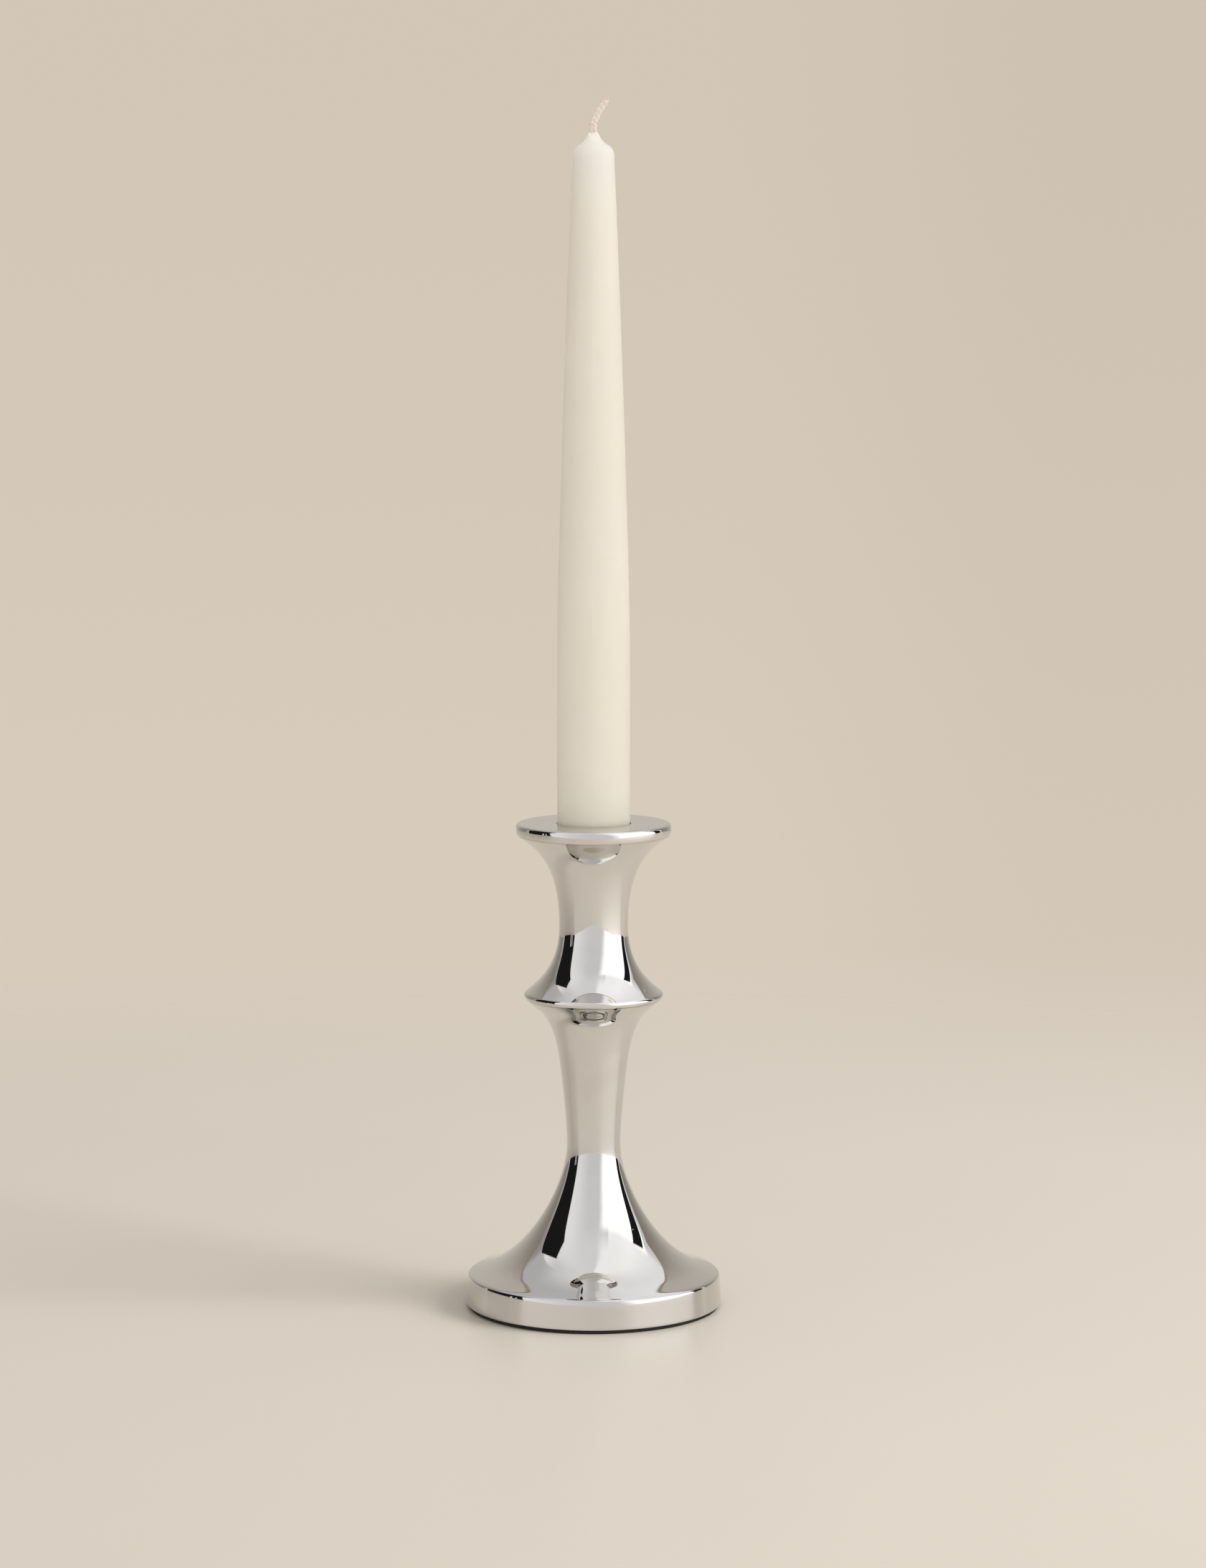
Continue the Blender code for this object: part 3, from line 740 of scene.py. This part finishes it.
nut_line = [(3.45, nut_high), (4.8, nut_high), (NUT_FLAT, nut_high - 0.05), (NUT_FLAT, nut_low + 0.05),
            (4.8, nut_low), (3.45, nut_low), (3.1, nut_low + 0.35), (3.1, nut_high - 0.35)]
nut = turn("clamp_nut_chamfered", nut_line, sides=96, shape=nut_shape)


# %% Turn the flat washers
def flat_washer(name, node):
    """A stamped washer: one edge is rolled over by the punch, and the other is sharp."""
    bottom, top, outer = low(node), high(node), radius_of(node)
    corners = [(3.3, (top + bottom) / 2), (3.3, top), (outer, top), (outer, bottom), (3.3, bottom)]
    return turn(name, softened(corners, 0.22, 4), sides=128)


head_washer = flat_washer("head_washer_stamped", "head_washer")
plate_washer = flat_washer("plate_washer_stamped", "plate_washer")

# %% Wind the split spring washer
spring_low, spring_high = low("spring_washer"), high("spring_washer")
SPRING_BORE, SPRING_R = 3.35, 5.55
SPRING_GAP, SPRING_LEAD = 16, 0.42      # degrees left open; rise from one end to the other
SPRING_STATIONS = 120
ring_mid, ring_half = (SPRING_BORE + SPRING_R) / 2, (SPRING_R - SPRING_BORE) / 2
half_thick = (spring_high - spring_low) / 2 - 0.22
section = softened([(-0.9, 1.0), (1.0, 1.0), (1.0, -1.0), (-1.0, -1.0), (-1.0, 1.0), (-0.9, 1.0)], 0.2)[:-1]
vertices, faces = [], []
for i in range(SPRING_STATIONS + 1):
    share = i / SPRING_STATIONS
    angle = math.radians(SPRING_GAP / 2 + (360 - SPRING_GAP) * share)
    middle = (spring_low + spring_high) / 2 + (share - 0.5) * SPRING_LEAD
    for across, upward in section:
        r = ring_mid + across * ring_half
        z = middle + upward * half_thick
        vertices.append((r * math.cos(angle) * MM, r * math.sin(angle) * MM, z * MM))
count = len(section)
for i in range(SPRING_STATIONS):
    for k in range(count):
        a, b = i * count + k, i * count + (k + 1) % count
        faces.append((a, b, b + count, a + count))
faces += [tuple(reversed(range(count))), tuple(range(len(vertices) - count, len(vertices)))]
spring = finish_mesh("spring_washer_wound", vertices, faces)

# %% [markdown]
# ## Zinc-plated steel
# The fixings are bright zinc over steel: bluish grey, duller than the nickel, with turning marks
# and patches of dark grease. The spring washer is blackened spring steel.

# %% Make the steels
def fixing_steel(name, light, dark, polish, marks):
    """polish is the lowest roughness, and marks is how fine the turning marks are."""
    made, tree, shader = new_finish(name, Metallic=1.0)
    lines = use_group(tree, hairlines, Scale=marks, Width=0.08, Cover=0.8)["Mask"]
    grime = use_group(tree, smudges, Scale=240.0, Contrast=0.7)["Mask"]
    pits = use_group(tree, grain, Scale=1500.0, Pits=0.3, Stretch=1.0)
    feed(tree, shader.inputs["Base Color"], mix(tree, grime, light, dark))
    rough = ease(tree, grime, 0.0, 1.0, polish, polish + 0.22)
    feed(tree, shader.inputs["Roughness"], calc(tree, "ADD", rough, calc(tree, "MULTIPLY", lines, 0.1)))
    feed(tree, shader.inputs["Normal"], bump(tree, lines, 0.004, bump(tree, pits["Height"], 0.006)))
    return made


zinc_light, zinc_dark = (0.62, 0.64, 0.67, 1.0), (0.46, 0.47, 0.48, 1.0)
bolt_finish = fixing_steel("bolt_steel", zinc_light, zinc_dark, 0.26, 1800.0)
dress(bolt, "candlestick", "bolt_steel", bolt_finish, "tie_bolt")
nut_finish = fixing_steel("nut_steel", zinc_light, zinc_dark, 0.3, 1400.0)
dress(nut, "candlestick", "nut_steel", nut_finish, "clamp_nut")
washer_finish = fixing_steel("washer_steel", zinc_light, zinc_dark, 0.34, 1600.0)
dress(head_washer, "candlestick", "washer_steel", washer_finish, "head_washer")
dress(plate_washer, "candlestick", "washer_steel", washer_finish, "plate_washer")
blackened = fixing_steel("spring_steel", (0.16, 0.16, 0.17, 1.0), (0.08, 0.08, 0.085, 1.0), 0.38, 1500.0)
dress(spring, "candlestick", "spring_steel", blackened, "spring_washer")

# %% [markdown]
# ## The iron weight
# The weight is a rough sand casting that nobody sees, so it kept its grainy skin and rusted a
# little in store. The skin is real geometry, pushed in and out by noise, with finer grain as bump.

# %% Turn the weight
weight_low, weight_high = low("ballast_weight"), high("ballast_weight")
weight_side = inset(bell, WALL + 0.5)
outside = [p for p in weight_side if p[1] < weight_high][::2]
side_r = outside[-1][0]
recess_top = high("plate_washer") + 0.3
weight_corners = [(side_r, outside[-1][1]), (side_r, weight_low), (12.8, weight_low), (12.8, recess_top),
                  (3.6, recess_top), (3.6, outside[0][1]), (outside[0][0] - 0.5, outside[0][1])]


def sand_cast(radius, angle, height):
    skin = wave(radius, angle, height, 2.2, 11) * 0.10 + wave(radius, angle, height, 7.0, 12) * 0.12
    return radius - 0.14 + skin, height + wave(radius, angle, height, 3.0, 13) * 0.05


weight = turn("iron_weight_cast", outside + softened(weight_corners, 0.5)[1:], sides=180, shape=sand_cast)
iron, tree, shader = new_finish("cast_iron", Metallic=0.55)
sand = use_group(tree, grain, Scale=650.0, Pits=0.6, Stretch=1.0)
rust = use_group(tree, smudges, Scale=120.0, Contrast=0.8)["Mask"]
colour = mix(tree, sand["Mask"], (0.13, 0.125, 0.12, 1.0), (0.06, 0.055, 0.05, 1.0))
rusted = calc(tree, "MULTIPLY", rust, 0.6)
feed(tree, shader.inputs["Base Color"], mix(tree, rusted, colour, (0.24, 0.10, 0.045, 1.0)))
feed(tree, shader.inputs["Roughness"], ease(tree, rust, 0.0, 1.0, 0.62, 0.9))
feed(tree, shader.inputs["Normal"], bump(tree, sand["Height"], 0.12))
dress(weight, "candlestick", "cast_iron_weight", iron, "ballast_weight")

# %% [markdown]
# ## The cover and the pad
# A disc of brown fibreboard closes the foot, and a thin pad of black foam is glued under it so
# that the metal doesn't scratch the table. Seen from the side, the pad is the fine dark line
# under the band. Both were cut by hand, so their edges wander a little.

# %% Cut the cover
cover_low, cover_high, cover_r = low("foot_cover"), high("foot_cover"), radius_of("foot_cover")
cover_line = softened([(0.0, cover_high), (cover_r, cover_high), (cover_r, cover_low),
                       (0.0, cover_low)], 0.15)


def sawn(radius, angle, height):
    if radius < cover_r - 1.0:
        return radius, height
    return radius - 0.05 + 0.05 * wave(radius, angle, height, 4.0, 21), height


cover = turn("foot_cover_board", cover_line, sides=160, shape=sawn)
board, tree, shader = new_finish("fibreboard", Metallic=0.0)
fibre = use_group(tree, grain, Scale=900.0, Pits=0.3, Stretch=0.25)
tone = use_group(tree, smudges, Scale=160.0, Contrast=0.3)["Mask"]
colour = mix(tree, tone, (0.23, 0.145, 0.08, 1.0), (0.30, 0.20, 0.115, 1.0))
feed(tree, shader.inputs["Base Color"], mix(tree, fibre["Mask"], colour, (0.12, 0.07, 0.035, 1.0)))
feed(tree, shader.inputs["Roughness"], ease(tree, tone, 0.0, 1.0, 0.72, 0.9))
feed(tree, shader.inputs["Normal"], bump(tree, fibre["Height"], 0.06))
dress(cover, "candlestick", "fibreboard", board, "foot_cover")


# %% Cut the pad
def knife_cut(radius, angle, height):
    if radius < PAD_R - 1.0:
        return radius, height
    return radius - 0.08 + 0.08 * wave(radius, angle, 0.0, 6.0, 31), height


pad_rings = [(r, PAD_TOP) for r in (0.0, 8.0, 16.0, 24.0, 31.0, 36.0)]
pad_edge = softened([(36.0, PAD_TOP), (PAD_R, PAD_TOP), (PAD_R - 0.1, PAD_TOP / 2), (PAD_R, 0.0),
                     (36.0, 0.0)], 0.2)
pad_line = pad_rings + pad_edge[1:] + [(r, 0.0) for r in (31.0, 24.0, 16.0, 8.0, 0.0)]
pad = turn("foot_pad_foam", pad_line, sides=200, shape=knife_cut)
foam, tree, shader = new_finish("black_foam", Metallic=0.0)
cells = use_group(tree, grain, Scale=2400.0, Pits=0.9, Stretch=1.0)
lint = calc(tree, "MULTIPLY", use_group(tree, dust, Scale=900.0, Amount=0.08)["Mask"], 0.4)
colour = mix(tree, cells["Mask"], (0.022, 0.021, 0.021, 1.0), (0.008, 0.008, 0.008, 1.0))
feed(tree, shader.inputs["Base Color"], mix(tree, lint, colour, (0.3, 0.28, 0.25, 1.0)))
feed(tree, shader.inputs["Roughness"], ease(tree, cells["Mask"], 0.0, 0.9, 0.85, 0.98))
feed(tree, shader.inputs["Normal"], bump(tree, cells["Height"], 0.05))
dress(pad, "candlestick", "black_foam", foam, "foot_pad")
print("hidden CAD nodes:", sorted(n for n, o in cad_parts.items() if o.hide_render))

# %% [markdown]
# ## The camera
# A 100 mm lens stands 1.3 m away, as high as the upper part of the candle, and is tilted down by
# seven degrees. That keeps the turning's verticals calm and still shows the top of the pan.
# The tall side of the frame is 36 mm.

# %% Set the camera
TILT = 6.94
lens = bpy.data.cameras.new("studio_camera")
lens.lens, lens.sensor_width, lens.sensor_fit = 100.0, 36.0, "AUTO"
camera = bpy.data.objects.new("studio_camera", lens)
camera.location = (2.85 * MM, -1307 * MM, 319.6 * MM)
camera.rotation_euler = (math.radians(90 - TILT), 0.0, 0.0)
bpy.context.scene.collection.objects.link(camera)
bpy.context.scene.camera = camera
bpy.context.scene.view_settings.view_transform = "Standard"

# %% [markdown]
# ## The table
# A sheet of warm white paper lies on the table. Up close it is real and takes the shadow. Further
# out it fades for the camera into the plain backdrop colour, so that no horizon cuts the picture.
# The polished metal sees the whole sheet, with its front edge about 0.6 m away. The paper has a
# satin surface, so the screens shine back from it a little, and the stems show that glare.

# %% Lay the paper
PAPER_SIDE, PAPER_FRONT, PAPER_BACK = 1.4, -0.62, 0.9     # metres from the object's axis
PAPER_TOP = -0.00005                                      # just clear of the pad
paper_corners = [(-PAPER_SIDE, PAPER_FRONT, PAPER_TOP), (PAPER_SIDE, PAPER_FRONT, PAPER_TOP),
                 (PAPER_SIDE, PAPER_BACK, PAPER_TOP), (-PAPER_SIDE, PAPER_BACK, PAPER_TOP)]
paper = finish_mesh("table_paper", paper_corners, [(0, 1, 2, 3)])

sheet, tree, shader = new_finish("warm_paper", Metallic=0.0, Specular_IOR_Level=0.5)
tooth = use_group(tree, grain, Scale=1200.0, Pits=0.2, Stretch=1.0)
tone = use_group(tree, smudges, Scale=2.5, Contrast=0.0)["Mask"]
paper_tone = mix(tree, tone, (0.508, 0.471, 0.423, 1.0), (0.518, 0.481, 0.433, 1.0))
feed(tree, shader.inputs["Base Color"], paper_tone)
feed(tree, shader.inputs["Roughness"], ease(tree, tone, 0.0, 1.0, 0.38, 0.42))
feed(tree, shader.inputs["Normal"], bump(tree, tooth["Height"], 0.02))
FADE_START, FADE_END = 0.22, 0.8
distance = put(tree, "VectorMath", {0: own_place(tree)}, operation="LENGTH").outputs["Value"]
fade = ease(tree, distance, FADE_START, FADE_END)
for_camera = calc(tree, "MULTIPLY", fade, put(tree, "LightPath").outputs["Is Camera Ray"])
clear = put(tree, "BsdfTransparent").outputs[0]
faded = put(tree, "MixShader", {0: for_camera, 1: shader.outputs[0], 2: clear}).outputs[0]
feed(tree, tree.nodes["Material Output"].inputs["Surface"], faded)
paper.data.materials.append(sheet)

# %% [markdown]
# ## The studio that the metal sees
# Polished metal has no look of its own: it shows the room. A studio builds that room from white
# screens, with black cards that draw dark lines down the sides. Here the room is painted on the
# world by direction, in degrees: azimuth 0 is towards the camera and grows to its right, and
# elevation is 0 at the horizon. The camera itself sees only the plain backdrop colour.

# %% Directions for the world
world = bpy.data.worlds.new("studio")
bpy.context.scene.world = world
world.use_nodes = True
tree = world.node_tree
PER_RADIAN = 180 / math.pi
direction = put(tree, "TexCoord").outputs["Generated"]
ray = put(tree, "SeparateXYZ", {"Vector": direction}).outputs
towards = calc(tree, "MULTIPLY", ray[1], -1.0)
azimuth = calc(tree, "MULTIPLY", calc(tree, "ARCTAN2", ray[0], towards), PER_RADIAN)
elevation = calc(tree, "MULTIPLY", calc(tree, "ARCSINE", ray[2]), PER_RADIAN)
aside = calc(tree, "ABSOLUTE", azimuth)


def between(value, start, end, soft):
    """1 between two values, with soft edges, all in degrees."""
    rises = ease(tree, value, start - soft, start + soft)
    falls = ease(tree, value, end + soft, end - soft)
    return calc(tree, "MULTIPLY", rises, falls)


def sloped(value, at_zero, per_degree):
    """A straight edge that leans: it moves by per_degree for each degree of value."""
    return calc(tree, "ADD", calc(tree, "MULTIPLY", value, per_degree), at_zero)


def below(edge, soft):
    """1 below an edge, which may slope."""
    return ease(tree, calc(tree, "SUBTRACT", edge, elevation), -soft, soft)


def grey(value, warmth=0.0):
    return (value * (1 + warmth), value, value * (1 - warmth), 1.0)


def shade_of(value):
    return put(tree, "CombineColor", {0: value, 1: value, 2: value}).outputs[0]


# %% [markdown]
# ## Ceiling and screens
# White cloth hangs overhead, a little brighter on the right and slightly uneven, as cloth is. A
# grey screen fills the front, and the bright key screen stands to the right with soft edges, so
# that its reflection fades into the others round a curve.

# %% Ceiling
ripple = put(tree, "TexNoise", {"Vector": direction, "Scale": 1.6, "Detail": 1.0}).outputs[0]
uneven = ease(tree, ripple, 0.3, 0.7, -0.03, 0.03)
left_ceiling = calc(tree, "ADD", 0.86, uneven)
back_shade = calc(tree, "MULTIPLY", ease(tree, azimuth, -75, -105), ease(tree, elevation, 82, 48))
left_ceiling = calc(tree, "SUBTRACT", left_ceiling, calc(tree, "MULTIPLY", back_shade, 0.3))
right_ceiling = calc(tree, "ADD", ease(tree, azimuth, 95, 150, 1.18, 0.98), uneven)
to_right = ease(tree, azimuth, 4, 32)
to_back = ease(tree, azimuth, 179, 168)
room = mix(tree, calc(tree, "MULTIPLY", to_right, to_back), shade_of(left_ceiling), shade_of(right_ceiling))

# %% Front screen and key screen
glow = ease(tree, azimuth, -72, -6, 0.96, 0.74)
front_screen = calc(tree, "MULTIPLY", between(azimuth, -112, 40, 2), below(58.0, 12.0))
room = mix(tree, front_screen, room, shade_of(glow))
key_left = sloped(elevation, 36.0, -0.24)
key_sides = calc(tree, "MULTIPLY", ease(tree, calc(tree, "SUBTRACT", azimuth, key_left), -13, 11),
                 ease(tree, azimuth, 119, 117))
key_screen = calc(tree, "MULTIPLY", key_sides, below(sloped(azimuth, 55.0, -0.11), 4.0))
room = mix(tree, key_screen, room, grey(1.55, 0.004))

# %% [markdown]
# ## Cards and backdrop
# A black card on each side gives the metal its dark lines. The cards lean, so their edges are
# sloped. Behind the object hangs the backdrop, with a dim trim round it and darker at its sides.

# %% Black cards and a light stand
def card(left, right, top):
    """A card; each side is (azimuth at the horizon, change for each degree up)."""
    past_left = ease(tree, calc(tree, "SUBTRACT", azimuth, sloped(elevation, *left)), -0.5, 0.5)
    before_right = ease(tree, calc(tree, "SUBTRACT", azimuth, sloped(elevation, *right)), 0.5, -0.5)
    return calc(tree, "MULTIPLY", calc(tree, "MULTIPLY", past_left, before_right), below(top, 0.8))


left_card_top = calc(tree, "MINIMUM", sloped(azimuth, 24.8, -0.35), sloped(azimuth, 134.4, 0.8))
left_card = card((-112.0, -0.08), (-66.0, -0.18), left_card_top)
right_card = card((103.0, -0.17), (117.0, -0.12), sloped(azimuth, 69.0, -0.25))
cards = calc(tree, "MAXIMUM", left_card, right_card)
room = mix(tree, cards, room, grey(0.012))
stand = calc(tree, "MAXIMUM", between(azimuth, -81.0, -78.6, 0.2), between(azimuth, -75.0, -73.6, 0.2))
room = mix(tree, calc(tree, "MULTIPLY", stand, below(6.0, 0.5)), room, grey(0.75, 0.02))

# %% Backdrop behind the object
gap = calc(tree, "MULTIPLY", ease(tree, aside, 114, 116), below(40.0, 4.0))
behind_cards = calc(tree, "MULTIPLY", gap, calc(tree, "SUBTRACT", 1.0, cards))
room = mix(tree, behind_cards, room, mix(tree, ease(tree, azimuth, -1, 1), grey(0.33, 0.05), grey(0.74)))
backdrop_edge = ease(tree, aside, 116, 150, 30.5, 42.5)
backdrop = calc(tree, "MULTIPLY", ease(tree, aside, 121.5, 122.5), below(backdrop_edge, 0.5))
trim_edge = calc(tree, "ADD", backdrop_edge, 1.3)
trim = calc(tree, "MULTIPLY", ease(tree, aside, 120.3, 121.3), below(trim_edge, 0.5))
room = mix(tree, trim, room, (0.30, 0.245, 0.18, 1.0))
cloth = mix(tree, ease(tree, aside, 120, 172), (0.27, 0.243, 0.213, 1.0), (0.59, 0.545, 0.487, 1.0))
room = mix(tree, backdrop, room, cloth)

# %% [markdown]
# ## What each kind of ray sees
# A mirror and a matt surface want different rooms. The metal needs the painted screens, but they
# would model the wax too strongly, so diffuse rays see mostly an even warm dome. The camera sees
# a plain backdrop, which is slightly darker higher up and to the right.

# %% Choose the room for each kind of ray
DOME_SHARE = 0.7
DOME_COLOUR = (0.90, 0.83, 0.75, 1.0)
plain = mix(tree, ease(tree, elevation, -12.0, 3.0), (0.688, 0.604, 0.504, 1.0), (0.648, 0.569, 0.470, 1.0))
dimmer = ease(tree, ray[0], 0.02, 0.11, 1.0, 0.955)
plain = mix(tree, 1.0, plain, shade_of(dimmer), blend="MULTIPLY")
path = put(tree, "LightPath").outputs
soft_light = mix(tree, calc(tree, "MULTIPLY", path["Is Diffuse Ray"], DOME_SHARE), room, DOME_COLOUR)
shown = mix(tree, path["Is Camera Ray"], soft_light, plain)
feed(tree, tree.nodes["Background"].inputs["Color"], shown)
tree.nodes["Background"].inputs["Strength"].default_value = 1.0
print("world nodes:", len(tree.nodes))

# %% [markdown]
# ## Two soft lamps
# A world lights from everywhere, so it casts hardly any shadow. A small key lamp on the right gives
# the wax its brighter side. A large table lamp, higher on the same side, throws the soft shadow. It
# is linked to the paper alone, so it can be strong enough for the shadow without burning out the
# wax. Neither is seen in the metal, where the painted screen already shows.

# %% Place the lamps
def area_lamp(name, place, size, power, colour):
    """A rectangular lamp that faces the middle of the candlestick; sizes are in metres."""
    data = bpy.data.lights.new(name, "AREA")
    data.shape, data.size, data.size_y = "RECTANGLE", size[0], size[1]
    data.energy, data.color = power, colour
    lamp = bpy.data.objects.new(name, data)
    lamp.location = place
    aim = Vector((0.0, 0.0, 0.15)) - Vector(place)
    lamp.rotation_euler = aim.to_track_quat("-Z", "Y").to_euler()
    lamp.visible_glossy = False
    bpy.context.scene.collection.objects.link(lamp)
    return lamp


key = area_lamp("key_lamp", (1.0, -0.3, 0.6), (0.6, 0.7), 1.6, (0.97, 1.0, 1.05))
table_lamp = area_lamp("table_lamp", (2.0, -0.72, 1.45), (1.35, 1.35), 65.0, (1.0, 0.985, 0.96))
on_table = bpy.data.collections.new("lit_by_table_lamp")
on_table.objects.link(paper)
table_lamp.light_linking.receiver_collection = on_table
print("lamps:", key.name, table_lamp.name)
